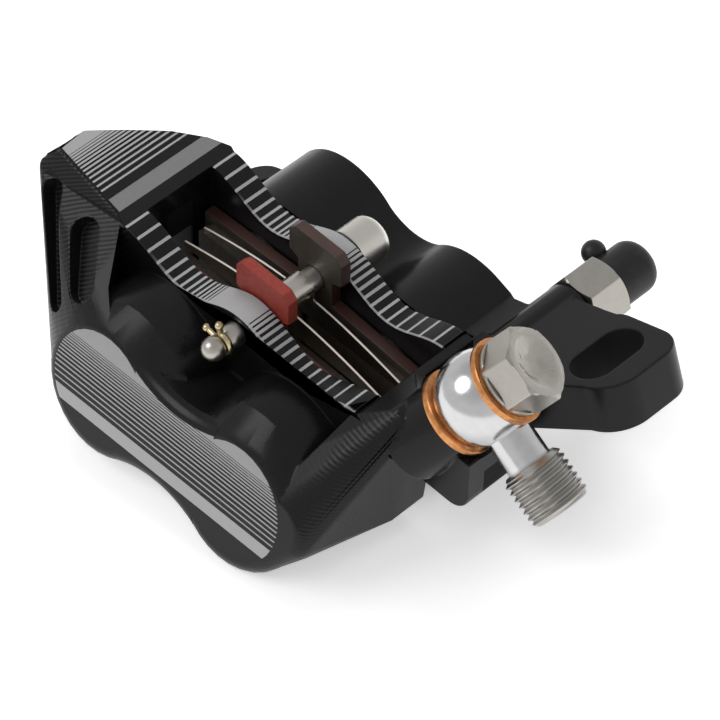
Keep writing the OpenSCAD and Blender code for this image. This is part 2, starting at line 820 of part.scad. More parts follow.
// Turned pin: a ball tip, a groove for the clip, a plain shank and a domed head.
module pad_pin()
    color([0.75, 0.72, 0.66])
        place()
            translate([0, 0, -pin_drop])
                rotate([-90, 0, 0])
                    rotate_extrude()
                        polygon(concat([[0, tip_a - pin_r]],
                            arc(pin_r, tip_a, -80, land_turn, 12),
                            [[clip_neck_r, clip_a - clip_gap], [clip_neck_r, clip_a + clip_gap]],
                            arc(pin_r, clip_a + clip_back, -land_turn, 0, 5),
                            [[pin_r, rail_a + FIT], [pin_head_d / 2, rail_a + FIT]],
                            [for (i = [0:8])
                                [pin_head_d / 2 * cos(i * 10),
                                 rail_a + FIT + pin_head_l - 2 + 2 * sin(i * 10)]],
                            [[0, rail_a + FIT + pin_head_l]]));

// Spring clip: an open ring of wire in the pin's groove, its two ends bent outwards to a bead.
module pin_clip() {
    wire_r = clip_wire_d / 2;
    bow_r = clip_neck_r + wire_r + 0.06;
    bow_turn = 290;
    leg_l = 1.5;
    color([0.72, 0.6, 0.32])
        place()
            translate([0, clip_a, -pin_drop])
                rotate([90, 190, 0]) {
                    rotate_extrude(angle = bow_turn)
                        translate([bow_r, 0])
                            circle(r = wire_r, $fn = 24);
                    for (turn = [0, bow_turn])
                        rotate([0, 0, turn])
                            translate([bow_r, 0, 0])
                                rotate([0, 90, 0]) {
                                    sphere(r = wire_r * 1.03);
                                    cylinder(r = wire_r * 0.98, h = leg_l);
                                    translate([0, 0, leg_l])
                                        sphere(r = wire_r * 1.4);
                                }
                }
}

// Round-bodied banjo with a plain neck and a male hose thread.
module banjo_fitting() {
    thread_end = hose_thread_start + hose_thread_l;
    color([0.82, 0.82, 0.84])
        place()
            on_seat()
                translate([0, 0, eye_mid_z])
                    difference() {
                        union() {
                            intersection() {
                                rotate_extrude()
                                    intersection() {
                                        translate([0, -eye_r])
                                            square([eye_r, 2 * eye_r]);
                                        circle(r = eye_r);
                                    }
                                cube([2 * THROUGH, 2 * THROUGH, eye_w], center = true);
                            }
                            rotate([0, 90, 0]) {
                                translate([0, 0, 3])
                                    cylinder(d = neck_d, h = hose_thread_start - 2);
                                translate([0, 0, hose_thread_start])
                                    rotate_extrude()
                                        polygon([[0, 0], [hose_thread_d / 2 - thread_chamfer, 0],
                                                 [hose_thread_d / 2, thread_chamfer],
                                                 [hose_thread_d / 2, hose_thread_l - thread_chamfer],
                                                 [hose_thread_d / 2 - thread_chamfer, hose_thread_l],
                                                 [0, hose_thread_l]]);
                            }
                        }
                        cylinder(r = eye_bore_r, h = eye_w + 2, center = true);
                        rotate([0, 90, 0])
                            cylinder(d = hose_bore_d, h = thread_end + 1);
                    }
}

// Hollow bolt: oil runs up its middle and out to the banjo's eye.
module banjo_bolt() {
    head_end = bolt_head_z + bolt_head_h;
    color([0.7, 0.68, 0.63])
        place()
            on_seat()
                difference() {
                    union() {
                        hex_head(bolt_af, bolt_head_z, head_end);
                        translate([0, 0, bolt_head_z])
                            cylinder(r = bolt_flange_r, h = bolt_flange_t);
                        translate([0, 0, -bolt_grip])
                            cylinder(r = bolt_r, h = bolt_grip + bolt_head_z + 1);
                    }
                    translate([0, 0, head_end - bolt_dish_h])
                        cylinder(r1 = bolt_dish_r * 0.3, r2 = bolt_dish_r, h = bolt_dish_h + 0.01);
                    translate([0, 0, -bolt_grip - 1])
                        cylinder(r = bolt_oil_r, h = bolt_grip + 1 + eye_mid_z);
                    translate([0, 0, eye_mid_z])
                        rotate([0, 90, 0])
                            cylinder(r = oil_r, h = 2 * bolt_d, center = true);
                }
}

module banjo_washer(z)
    color([0.8, 0.45, 0.22])
        place()
            on_seat()
                translate([0, 0, z])
                    difference() {
                        cylinder(d = washer_d, h = washer_t);
                        translate([0, 0, -1])
                            cylinder(r = washer_bore_r, h = washer_t + 2);
                    }

module bleed_screw()
    color([0.72, 0.7, 0.66])
        place()
            difference() {
                union() {
                    translate([bleed_t, 0, -bleed_drop])
                        rotate([-90, 0, 0])
                            hex_head(bleed_af, bleed_head_a, bleed_nipple_a);
                    rod(bleed_t, -bleed_drop, bleed_r, bleed_head_a - bleed_thread_l, bleed_head_a + 1);
                    rod(bleed_t, -bleed_drop, bleed_nipple_r, bleed_nipple_a - 1,
                        bleed_nipple_a + bleed_nipple_l);
                }
                rod(bleed_t, -bleed_drop, bleed_oil_r, bleed_head_a - bleed_thread_l + 2,
                    bleed_nipple_a + bleed_nipple_l + 1);
            }

// Rubber cap over the bleed nipple, with a pull knob on its rim.
module bleed_cap() {
    cap_end = bleed_cap_a + bleed_cap_l;
    dome = 2.2;
    color([0.06, 0.06, 0.06])
        place()
            difference() {
                union() {
                    translate([bleed_t, bleed_cap_a, -bleed_drop])
                        rotate([-90, 0, 0])
                            rotate_extrude()
                                polygon(concat([[0, 0], [bleed_cap_d / 2, 0]],
                                    [for (i = [0:8])
                                        [bleed_cap_d / 2 - dome + dome * cos(i * 11.25),
                                         bleed_cap_l - dome + dome * sin(i * 11.25)]],
                                    [[0, bleed_cap_l]]));
                    translate([bleed_t, bleed_cap_a + bleed_knob_d / 2, -bleed_drop])
                        rotate([0, -bleed_knob_turn, 0]) {
                            translate([bleed_knob_off, 0, 0])
                                sphere(d = bleed_knob_d);
                            rotate([0, 90, 0])
                                cylinder(d = bleed_knob_d * 0.6, h = bleed_knob_off);
                        }
                }
                rod(bleed_t, -bleed_drop, bleed_cap_wall_r, bleed_cap_a - 1,
                    bleed_nipple_a + bleed_nipple_l + 0.3);
            }
}

caliper_body();
bore_cap(LEFT);  // bore_cap_left
bore_cap(RIGHT);  // bore_cap_right
cap_seal(LEFT);  // cap_seal_left
cap_seal(RIGHT);  // cap_seal_right
piston(NEAR, LEFT);  // near_piston_left
piston(NEAR, RIGHT);  // near_piston_right
piston(FAR, LEFT);  // far_piston_left
piston(FAR, RIGHT);  // far_piston_right
piston_seal(NEAR, LEFT);  // near_seal_left
piston_seal(NEAR, RIGHT);  // near_seal_right
piston_seal(FAR, LEFT);  // far_seal_left
piston_seal(FAR, RIGHT);  // far_seal_right
pad_plate(NEAR);  // near_pad_plate
pad_friction(NEAR);  // near_pad_friction
pad_plate(FAR);  // far_pad_plate
pad_friction(FAR);  // far_pad_friction
pad_spring();
pad_pin();
pin_clip();
banjo_fitting();
banjo_bolt();
banjo_washer(0);  // banjo_washer_inner
banjo_washer(eye_z1 + FIT);  // banjo_washer_outer
bleed_screw();
bleed_cap();
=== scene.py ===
"""Bicycle disc brake caliper: the finishes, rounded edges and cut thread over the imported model."""

import json
import math

import bpy
from mathutils import Matrix, Vector


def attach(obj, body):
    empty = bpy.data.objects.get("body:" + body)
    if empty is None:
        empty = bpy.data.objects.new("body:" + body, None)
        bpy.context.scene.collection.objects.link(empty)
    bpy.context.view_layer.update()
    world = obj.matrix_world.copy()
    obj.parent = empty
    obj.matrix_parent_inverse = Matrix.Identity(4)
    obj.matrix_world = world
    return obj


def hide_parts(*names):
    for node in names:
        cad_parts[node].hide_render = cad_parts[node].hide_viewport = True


MM = 0.001

# The disc axes: t along the disc's edge, a across the disc, r out from its centre.
MOUNT_TILT = math.radians(20)
MOUNT_MID_T = 7.1307
MOUNT_A = 20.5
MOUNT_MID_R = -18.1964

# The slots of the ears: half of their distance, width and length.
MOUNT_HALF = 37.0
SLOT_HALF_W = 3.5
SLOT_HALF_L = 6.1

# The front face slopes; h runs up it from the level of the piston axes.
FRONT_TILT = math.radians(17)
FRONT_A = -23.6
PISTON_R = -15.0
PISTON_T = 12.5

# The banjo, in disc axes.
SEAT = (33.3, -2.0, 2.3)
NECK_SLOPE = math.radians(32.5)
BOLT_LEAN = math.radians(27)
EYE_MID = 5.02
THREAD_R = 4.49
THREAD_ROOT_R = 3.95
THREAD_PITCH = 1.0
THREAD_START = 10.8
THREAD_END = 18.2
THREAD_CHAMFER = 0.7
HOSE_BORE_R = 1.6
NECK_CUT = 10.85

# The thread's foot lies just inside the neck's shoulder, so that no two faces coincide.
THREAD_FOOT = 10.825

# The photograph's camera, in disc axes.
CAMERA_RIGHT = (0.6949, 0.7189, 0.0189)
CAMERA_UP = (-0.5586, 0.5231, 0.6437)
CAMERA_BACK = (0.4529, -0.4576, 0.7651)
CAMERA_PLACE = (261.5, -251.0, 413.8)
CAMERA_LENS = 201.85

# The floor that the part lies on, in the part's own axes.
FLOOR_NORMAL = Vector((0.2101, -0.0162, 0.9775))
FLOOR_LEVEL = -9.25 * MM

# Light from the room, and how bright its walls and its ceiling look in a mirror.
ROOM_LIGHT = 0.34
WALLS = 0.62
CEILING = 0.46

# How far the floor is lifted towards plain white near the part, for the camera and for mirrors.
LIFT_SEEN = 0.5
LIFT_MIRRORED = 0.28

# Painted shade: the floor right under the part gets no lift and stays darker: middle and half size, in
# disc axes.
PAINTED_SHADE_T = -14.0
PAINTED_SHADE_A = 8.0
PAINTED_SHADE_HALF_T = 42.0
PAINTED_SHADE_HALF_A = 22.0

# The run of the two grooves down the left rib; the milling steps lie across it.
RIB_RUN = (0.67, -0.58, -0.46)
RIB_STEP = 0.66
END_STEP = 0.5

# How deep under the front face and the arm's top the etching still shows.
FRONT_SKIN = 0.04
ARM_SKIN = 0.06

# The marks on the front face, by height: the plain top, the fading lines and the plain band.
FRONT_LINES_TOP = 5.2
FRONT_LINES_FOOT = -3.6
FRONT_BAND_TOP = -4.3
FRONT_BAND_FOOT = -6.4
FRONT_END_T = 23.9
FRONT_END_SLANT = 0.36
FRONT_MARKS_LEAN = -0.036

# The marks on the rails: how far the rails reach, the plain hump, and a painted highlight along each
# rim.
RAIL_INNER_A = 5.9
RAIL_OUTER_A = 10.5
RAIL_END_T = 22.9
RAIL_LOW_R = -5.0
HUMP_T = -2.2
HUMP_HALF = 3.6
NEAR_RIM_A = -9.95
FAR_RIM_A = 6.4
RIM_GLINT_SHARE = 0.7

# The marks on the left arm, from its tip to its root.
ARM_TIP_T = -40.2
ARM_LINES_T = -38.4
ARM_LINES_END_T = -28.9
ARM_BAND_T = -28.0
ARM_ROOT_T = -25.3
ARM_SLANT = 0.15
ARM_NEAR_A = -12.9

# The walls of the disc slot.
DISC_SLOT_HALF = 2.4
DISC_SLOT_TOP_R = -4.0

# The bleed screw's axis and its outer end; the pad pin lies to the left of PIN_END_T.
BLEED_T = 26.0
BLEED_R = -7.4
BLEED_END_A = 25.0
PIN_END_T = 6.0

# The pitch of the turning rings on the bore caps, the bolts and the hose fitting.
CAP_RINGS = 0.28
BOLT_RINGS = 0.16
FITTING_RINGS = 0.22


def turned(t, a, r):
    """A direction in disc axes, in the part's axes."""
    cos, sin = math.cos(MOUNT_TILT), math.sin(MOUNT_TILT)
    return Vector((t * cos + r * sin, a, -t * sin + r * cos))


def placed(t, a, r):
    """A point in disc axes and millimetres, in the part's axes and metres."""
    return turned(t - MOUNT_MID_T, a - MOUNT_A, r - MOUNT_MID_R) * MM


BOLT_AXIS = turned(math.cos(BOLT_LEAN) * math.sin(NECK_SLOPE), math.sin(BOLT_LEAN),
                   math.cos(BOLT_LEAN) * math.cos(NECK_SLOPE))
NECK_AXIS = turned(math.cos(NECK_SLOPE), 0, -math.sin(NECK_SLOPE))
EYE_CENTRE = placed(*SEAT) + BOLT_AXIS * EYE_MID * MM


class Reading:
    """A number that changes over a surface; arithmetic on it adds Math nodes."""

    def __init__(self, finish, socket):
        self.finish = finish
        self.socket = socket

    def math(self, operation, *others):
        values = dict(enumerate((self,) + others))
        return self.finish.node("ShaderNodeMath", {"operation": operation}, values)

    def __add__(self, other):
        return self.math("ADD", other)

    def __sub__(self, other):
        return self.math("SUBTRACT", other)

    def __rsub__(self, other):
        return self.finish.node("ShaderNodeMath", {"operation": "SUBTRACT"}, {0: other, 1: self})

    def __mul__(self, other):
        return self.math("MULTIPLY", other)

    def __abs__(self):
        return self.math("ABSOLUTE")

    __radd__ = __add__
    __rmul__ = __mul__

    def above(self, other):
        return self.math("GREATER_THAN", other)

    def below(self, other):
        return self.math("LESS_THAN", other)

    def ramp(self, start, end):
        """Goes smoothly from 0 at start to 1 at end."""
        return self.finish.node("ShaderNodeMapRange", {"interpolation_type": "SMOOTHSTEP"},
                                {"Value": self, "From Min": start, "From Max": end})


class Finish:
    """The nodes of a material, or of the world."""

    def __init__(self, owner, coordinates="Object"):
        self.owner = owner
        owner.use_nodes = True
        self.tree = owner.node_tree
        self.tree.nodes.clear()
        self.place = self.node("ShaderNodeTexCoord", result=coordinates)

    @classmethod
    def named(cls, name):
        return cls(bpy.data.materials.new(name))

    def node(self, kind, settings=None, sockets=None, result=0):
        made = self.tree.nodes.new(kind)
        for key, value in (settings or {}).items():
            setattr(made, key, value)
        for key, value in (sockets or {}).items():
            if isinstance(value, Reading):
                self.tree.links.new(value.socket, made.inputs[key])
            else:
                made.inputs[key].default_value = value
        return None if result is None else Reading(self, made.outputs[result])

    def dot(self, vector, direction):
        """How far a vector reaches along a direction."""
        return self.node("ShaderNodeVectorMath", {"operation": "DOT_PRODUCT"},
                         {0: vector, 1: direction}, "Value")

    def along(self, direction, origin=(0, 0, 0)):
        """Millimetres from a point along a direction."""
        step = Vector(direction) / MM
        return self.dot(self.place, step) - step.dot(Vector(origin))

    def from_axis(self, direction, origin):
        """Millimetres from the line through a point."""
        axis = Vector(direction).normalized()
        side = axis.orthogonal().normalized()
        x = self.along(side, origin)
        y = self.along(axis.cross(side), origin)
        return (x * x + y * y).math("SQRT")

    def noise(self, size, detail=2.0, stretch=(1, 1, 1), turn=(0, 0, 0)):
        """Noise with blotches of about this size in millimetres."""
        place = self.node("ShaderNodeMapping", {},
                          {"Vector": self.place, "Rotation": turn, "Scale": stretch})
        return self.node("ShaderNodeTexNoise", {},
                         {"Vector": place, "Scale": 1 / (size * MM), "Detail": detail})

    def blend(self, share, first, second):
        """A colour between two colours."""
        first, second = (c if isinstance(c, Reading) else (*c, 1) for c in (first, second))
        return self.node("ShaderNodeMix", {"data_type": "RGBA"}, {0: share, 6: first, 7: second}, 2)

    def bump(self, height, depth, strength=1.0, under=None):
        """A normal from a height that stands for this many millimetres."""
        sockets = {"Height": height, "Distance": depth * MM, "Strength": strength}
        if under is not None:
            sockets["Normal"] = under
        return self.node("ShaderNodeBump", {}, sockets)

    def surface(self, **sockets):
        """Closes the material with a shader of these values."""
        named = {key.replace("_", " "): value for key, value in sockets.items()}
        shader = self.node("ShaderNodeBsdfPrincipled", {}, named)
        self.node("ShaderNodeOutputMaterial", {}, {"Surface": shader}, None)
        return self.owner


def either(first, *others):
    """The strongest of several masks."""
    for other in others:
        first = first.math("MAXIMUM", other)
    return first


def etched_lines(distance, first_pitch, growth, width):
    """Where lines of one width stand on a distance, each a little further from the last."""
    pitch = distance * growth + first_pitch
    scale = (pitch * (1 / first_pitch)).math("MAXIMUM", 0.001)
    count = scale.math("LOGARITHM", math.e) * (1 / growth)
    return (count.math("FRACT") * pitch).below(width)


def etched_front(f, t, depth):
    """The lines, plain top and plain band of the front face, and the band alone."""
    run = turned(FRONT_MARKS_LEAN, math.sin(FRONT_TILT), math.cos(FRONT_TILT))
    height = f.along(run, placed(0, FRONT_A, PISTON_R))
    on_front = depth.above(-FRONT_SKIN) * (t - height * FRONT_END_SLANT).below(FRONT_END_T)
    lines = etched_lines(FRONT_LINES_TOP - height, 0.36, 0.07, 0.27) * height.above(FRONT_LINES_FOOT)
    band = height.below(FRONT_BAND_TOP) * height.above(FRONT_BAND_FOOT)
    plain = height.above(FRONT_LINES_TOP)
    return on_front * either(lines, band, plain), on_front * band


def rail_etching_and_glints(t, a, r, upward):
    """Lines that spread from a plain hump on each rail, and a painted highlight along each rim."""
    on_rails = (upward.above(0.45) * r.above(RAIL_LOW_R) * abs(t).below(RAIL_END_T)
                * abs(a).above(RAIL_INNER_A) * abs(a).below(RAIL_OUTER_A))
    from_hump = abs(t - HUMP_T) - HUMP_HALF
    lines = etched_lines(from_hump, 0.55, 0.115, 0.42)
    edges = a.below(NEAR_RIM_A) + a.above(0) * a.below(FAR_RIM_A)
    # A painted highlight along each rail's rim, from t = -12 rightwards.
    painted_rim_glints = edges * t.ramp(-19, -12) * RIM_GLINT_SHARE
    return on_rails * either(lines, from_hump.below(0), painted_rim_glints)


def etched_arm(t, a, r):
    """Lines that spread from the arm's plain tip, and the plain band at its root."""
    on_arm = (r.above(-ARM_SKIN) * t.below(ARM_ROOT_T) * t.above(ARM_TIP_T)
              * (a + t * ARM_SLANT).above(ARM_NEAR_A))
    from_tip = t - ARM_LINES_T
    lines = etched_lines(from_tip, 0.4, 0.085, 0.34) * t.below(ARM_LINES_END_T)
    return on_arm * either(lines, from_tip.below(0)), on_arm * t.above(ARM_BAND_T)


def milling_steps(f, t, a, r, ways, open_side):
    """The cutter's steps across the left rib and down the right end wall."""
    lengthwise, across, _ = ways
    on_tip = either((0 - t).ramp(24.0, 25.5), (0 - t).ramp(20.5, 22.5) * (0 - a).ramp(9.5, 10.5))
    on_rib = (on_tip * open_side * (1 - lengthwise.above(0.35)) * (1 - a.ramp(4, 9))
              * (1 - across.ramp(0.1, 0.4)) * (1 - disc_slot_walls(a, r)))
    on_end = (t.ramp(22.5, 24.5) * (1 - t.ramp(28.5, 30.0)) * open_side
              * (1 - lengthwise.below(-0.35)) * (1 - a.ramp(-6, -3)))
    wander = f.noise(6.0) * 0.4
    down_rib = f.along(turned(*RIB_RUN), placed(0, 0, 0)) + wander
    rib_steps = (down_rib * (1 / RIB_STEP)).math("FRACT")
    end_steps = ((r + wander) * (1 / END_STEP)).math("FRACT")
    return on_rib * abs(rib_steps - 0.5) * 2 + on_end * abs(end_steps - 0.5)


def disc_slot_walls(a, r):
    return abs(a).below(DISC_SLOT_HALF) * r.below(DISC_SLOT_TOP_R)


def ear_slot_walls(f, upward):
    """The inside of the right ear's slot."""
    x = f.along((1, 0, 0), (MOUNT_HALF * MM, 0, 0))
    y = f.along((0, 1, 0))
    return abs(x).below(SLOT_HALF_W) * abs(y).below(SLOT_HALF_L) * abs(upward).below(0.8)


def anodised_body():
    """Black anodised aluminium: milled ends with a painted glint on the cutter's steps, bright etched
    lines on front, rails and arm, and a painted highlight on each rail's rim.
    """
    f = Finish.named("anodised_body")
    axes = [turned(1, 0, 0), turned(0, 1, 0), turned(0, 0, 1)]
    t, a, r = (f.along(axis, placed(0, 0, 0)) for axis in axes)
    facing = f.node("ShaderNodeNewGeometry", result="Normal")
    ways = [f.dot(facing, axis) for axis in axes]
    upward = ways[2]
    out = turned(0, -math.cos(FRONT_TILT), math.sin(FRONT_TILT))
    depth = f.along(out, placed(0, FRONT_A, PISTON_R))

    front, front_band = etched_front(f, t, depth)
    arm, arm_band = etched_arm(t, a, r)
    marks = either(front, rail_etching_and_glints(t, a, r, upward), arm)
    open_side = (1 - depth.above(-0.3)) * (1 - upward.above(0.97))
    steps = milling_steps(f, t, a, r, ways, open_side)
    sheltered = either(ear_slot_walls(f, upward), disc_slot_walls(a, r))
    grain = f.noise(0.16, 3)
    mottle = f.noise(9.0, 3)

    speckle = mottle * 0.5 + grain.ramp(0.3, 0.7) * 0.5
    black = f.blend(speckle, (0.0040, 0.0040, 0.0045), (0.0100, 0.0100, 0.0105))
    # Lighter along the edge of each cutter's step: a painted glint over the real tool marks.
    milled = f.blend(steps.ramp(0.45, 1.0) * 0.8, black, (0.028, 0.028, 0.029))
    etched = f.blend(grain, (0.36, 0.36, 0.365), (0.45, 0.45, 0.455))
    bright = f.blend(front_band, etched, (0.50, 0.50, 0.505))
    lined = f.blend(marks, milled, bright)
    base = f.blend(arm_band * (grain * 0.2 + 0.4), lined, etched)
    roughness = marks * 0.2 + grain * 0.06 + mottle * 0.05 + sheltered * 0.5 + 0.2
    fine = f.bump(grain, 0.014, 0.5)
    cut = f.bump(steps, 0.06, 0.8, fine)
    return f.surface(Base_Color=base, Roughness=roughness, Normal=cut, Specular_IOR_Level=0.27)


def anodised_cap():
    """Black anodised cap, turned on a lathe."""
    f = Finish.named("anodised_cap")
    left = f.from_axis((0, 1, 0), placed(-PISTON_T, 0, PISTON_R))
    right = f.from_axis((0, 1, 0), placed(PISTON_T, 0, PISTON_R))
    rings = (left.math("MINIMUM", right) * (1 / CAP_RINGS)).math("FRACT")
    grain = f.noise(0.3, 3)
    base = f.blend(rings, (0.010, 0.010, 0.011), (0.022, 0.022, 0.023))
    return f.surface(Base_Color=base, Roughness=grain * 0.1 + 0.3,
                     Normal=f.bump(abs(rings - 0.5), 0.02, 0.6), Specular_IOR_Level=0.3)


def black_rubber(name, tone):
    """Moulded rubber, dull and a little dusty."""
    f = Finish.named(name)
    dust = f.noise(1.6, 4)
    pores = f.noise(0.12, 2)
    base = f.blend(dust.ramp(0.45, 0.8), (tone, tone, tone * 1.05), (tone * 2.4, tone * 2.4, tone * 2.4))
    return f.surface(Base_Color=base, Roughness=dust * 0.14 + 0.34, Normal=f.bump(pores, 0.02, 0.4),
                     Specular_IOR_Level=0.45)


def ground_steel():
    """Ground piston skirts with fine rings."""
    f = Finish.named("piston_steel")
    rings = f.noise(0.2, 2, (0.05, 1, 0.05))
    base = f.blend(rings, (0.48, 0.48, 0.49), (0.66, 0.66, 0.67))
    return f.surface(Base_Color=base, Metallic=1.0, Roughness=rings * 0.15 + 0.2,
                     Normal=f.bump(rings, 0.008, 0.4))


def pad_paint():
    """Red paint on the backs and edges of the plates, bare dark steel towards the disc; the far plate is
    darkened as painted shade.
    """
    f = Finish.named("pad_paint")
    a = f.along((0, 1, 0), placed(0, 0, 0))
    grime = f.noise(2.2, 4)
    flakes = f.noise(0.5, 3)
    r = f.along(turned(0, 0, 1), placed(0, 0, 0))
    inner = 1 - abs(a).ramp(4.06, 4.2)
    # Random grime, and darker towards the bottom of the plates.
    grime_and_low_dark = (grime * 0.9 + (0 - r).ramp(-2.0, 9.0) * 0.75).ramp(0.5, 1.1)
    red = f.blend(flakes.ramp(0.3, 0.7), (0.25, 0.030, 0.020), (0.32, 0.042, 0.027))
    # Painted shade: the far plate is darkened throughout, though it carries the same red paint as the
    # near plate.
    red_and_far_shade = f.blend(a.above(0) * (grime * 0.15 + 0.85), red, (0.042, 0.032, 0.027))
    grimy_darker_low = f.blend(grime_and_low_dark * 0.8, red_and_far_shade, (0.045, 0.016, 0.012))
    steel = f.blend(grime, (0.035, 0.030, 0.024), (0.085, 0.070, 0.055))
    base = f.blend(inner, grimy_darker_low, steel)
    return f.surface(Base_Color=base, Roughness=grime * 0.2 + 0.36, Normal=f.bump(flakes, 0.02, 0.4))


def pad_friction():
    """Sintered friction block: brown grey, with copper and iron grains."""
    f = Finish.named("pad_friction")
    grains = f.noise(0.35, 4)
    patches = f.noise(2.0, 3)
    dark = f.blend(patches, (0.030, 0.024, 0.018), (0.062, 0.048, 0.036))
    base = f.blend(grains.ramp(0.58, 0.72), dark, (0.20, 0.13, 0.08))
    return f.surface(Base_Color=base, Metallic=grains.ramp(0.6, 0.7) * 0.6,
                     Roughness=grains * 0.25 + 0.55, Normal=f.bump(grains, 0.06, 0.7))


def spring_strip():
    """Rolled spring strip with straw heat tint."""
    f = Finish.named("spring_steel")
    rolled = f.noise(0.25, 2, (0.08, 1, 1), (0, -MOUNT_TILT, 0))
    tint = f.noise(5.0, 2)
    t = f.along(turned(1, 0, 0), placed(0, 0, 0))
    facing = f.node("ShaderNodeNewGeometry", result="Normal")
    # Painted highlight: the upward faces of the leaves, their top edges, are lighter and less metallic.
    edge = f.dot(facing, turned(0, 0, 1)).ramp(0.5, 0.8) * abs(t).above(2.6)
    strip = f.blend(tint, (0.62, 0.60, 0.56), (0.70, 0.65, 0.57))
    base = f.blend(edge, strip, (0.78, 0.70, 0.64))
    return f.surface(Base_Color=base, Metallic=1 - edge * 0.7, Roughness=rolled * 0.1 + edge * 0.2 + 0.2,
                     Normal=f.bump(rolled, 0.004, 0.3))


def titanium():
    """Turned titanium, warm grey, with fine tool rings about each piece's own axis."""
    f = Finish.named("titanium")
    bolt = f.from_axis(BOLT_AXIS, placed(*SEAT))
    bleed = f.from_axis((0, 1, 0), placed(BLEED_T, 0, BLEED_R))
    far = f.along((0, 1, 0), placed(0, 0, 0))
    rings = (bolt.math("MINIMUM", bleed) * (1 / BOLT_RINGS) + far * 0.8).math("FRACT")
    blotch = f.noise(1.4, 4)
    grain = f.noise(0.14, 3)
    t = f.along(turned(1, 0, 0), placed(0, 0, 0))
    on_pin = t.below(PIN_END_T)
    turned_metal = f.blend(blotch, (0.44, 0.42, 0.38), (0.56, 0.535, 0.49))
    on_bleed = far.above(BLEED_END_A) * (1 - on_pin)
    paler = on_pin * far.above(0) * 0.8 + on_pin * 0.1 + on_bleed * 0.1
    base = f.blend(paler, turned_metal, (0.86, 0.83, 0.77))
    return f.surface(Base_Color=base, Metallic=1.0, Roughness=blotch * 0.14 + grain * 0.08 + 0.2,
                     Normal=f.bump(abs(rings - 0.5) + grain * 0.6, 0.012, 0.5))


def clip_wire():
    """Drawn brass wire, slightly tarnished."""
    f = Finish.named("clip_wire")
    tarnish = f.noise(1.0, 4)
    base = f.blend(tarnish.ramp(0.35, 0.75), (0.70, 0.60, 0.38), (0.40, 0.31, 0.15))
    return f.surface(Base_Color=base, Metallic=1.0, Roughness=tarnish * 0.2 + 0.16,
                     Normal=f.bump(f.noise(0.15, 2), 0.01, 0.4))


def polished_alloy():
    """Polished fitting with faint turning rings round the hose's axis."""
    f = Finish.named("polished_alloy")
    along = f.along(NECK_AXIS, EYE_CENTRE)
    rings = (along * (1 / FITTING_RINGS)).math("FRACT")
    haze = f.noise(1.1, 3)
    on_thread = along.ramp(THREAD_START - 0.6, THREAD_START)
    bright = f.blend(haze, (0.66, 0.66, 0.67), (0.78, 0.78, 0.79))
    base = f.blend(on_thread, bright, (0.50, 0.485, 0.46))
    return f.surface(Base_Color=base, Metallic=1.0, Roughness=haze * 0.08 + on_thread * 0.12 + 0.14,
                     Normal=f.bump(abs(rings - 0.5), 0.006, 0.35))


def copper():
    """Soft copper washers, crushed a little and tarnished at the edges."""
    f = Finish.named("copper")
    tarnish = f.noise(0.9, 4)
    base = f.blend(tarnish.ramp(0.3, 0.8), (0.78, 0.35, 0.13), (0.52, 0.20, 0.07))
    return f.surface(Base_Color=base, Metallic=1.0, Roughness=tarnish * 0.2 + 0.2,
                     Normal=f.bump(tarnish, 0.02, 0.4))


def alone(piece):
    """Selects one piece and nothing else."""
    bpy.ops.object.select_all(action="DESELECT")
    piece.select_set(True)
    bpy.context.view_layer.objects.active = piece


def settle(piece, angle=35):
    """Puts a piece's place into its mesh and smooths it; large flat faces stay flat."""
    alone(piece)
    bpy.ops.object.transform_apply(location=True, rotation=True, scale=True)
    bpy.ops.object.shade_smooth_by_angle(angle=math.radians(angle))
    flat = piece.modifiers.new("flat_faces", "WEIGHTED_NORMAL")
    flat.mode = "FACE_AREA"
    flat.weight = 70
    flat.keep_sharp = True
    bpy.ops.object.modifier_apply(modifier=flat.name)
    return piece


def copy_of(node, name):
    """A welded copy of a solid's mesh, for rounding."""
    solid = frame["nodes"][node]
    piece = solid.copy()
    piece.data = solid.data.copy()
    piece.name = name
    for key in list(piece.keys()):
        del piece[key]
    piece.parent = None
    bpy.context.scene.collection.objects.link(piece)
    piece.data.materials.clear()
    alone(piece)
    bpy.ops.mesh.customdata_custom_splitnormals_clear()
    bpy.ops.object.mode_set(mode="EDIT")
    bpy.ops.mesh.select_all(action="SELECT")
    bpy.ops.mesh.remove_doubles(threshold=2e-6)
    bpy.ops.mesh.dissolve_limited(angle_limit=math.radians(0.4))
    bpy.ops.object.mode_set(mode="OBJECT")
    return piece


def sharp_edges(piece, angle, room):
    """Picks the sharp edges whose ends have room for rounding."""
    mesh = piece.data
    normals = {}
    for face in mesh.polygons:
        for key in face.edge_keys:
            normals.setdefault(key, []).append(face.normal)
    limit = math.cos(math.radians(angle))
    sharp = {key: len(pair) == 2 and pair[0].dot(pair[1]) < limit for key, pair in normals.items()}
    crowded = set()
    for edge in mesh.edges:
        first, last = (mesh.vertices[v].co for v in edge.vertices)
        if not sharp.get(edge.key) and (first - last).length < room * MM:
            crowded.update(edge.vertices)
    for edge in mesh.edges:
        edge.select = bool(sharp.get(edge.key)) and not crowded.intersection(edge.vertices)


def rounded(node, width, angle=35, steps=2, room=None):
    """A copy of a solid with its edges rounded, which stands for the solid."""
    piece = copy_of(node, node + "_rounded")
    alone(piece)
    bpy.ops.object.mode_set(mode="EDIT")
    bpy.ops.mesh.select_mode(type="EDGE")
    bpy.ops.mesh.select_all(action="DESELECT")
    bpy.ops.object.mode_set(mode="OBJECT")
    sharp_edges(piece, angle, room or 2 * width)
    bpy.ops.object.mode_set(mode="EDIT")
    bpy.ops.mesh.bevel(offset=width * MM, segments=steps, affect="EDGES", clamp_overlap=False,
                       miter_outer="ARC")
    bpy.ops.object.mode_set(mode="OBJECT")
    settle(piece, angle)
    return dress(piece, node)


def dress(piece, node):
    """Gives a piece the finish and body of the solid that it stands for."""
    piece.data.materials.clear()
    piece.data.materials.append(finish_of[slot_of[node]])
    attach(piece, body_of[node])
    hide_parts(node)
    return piece


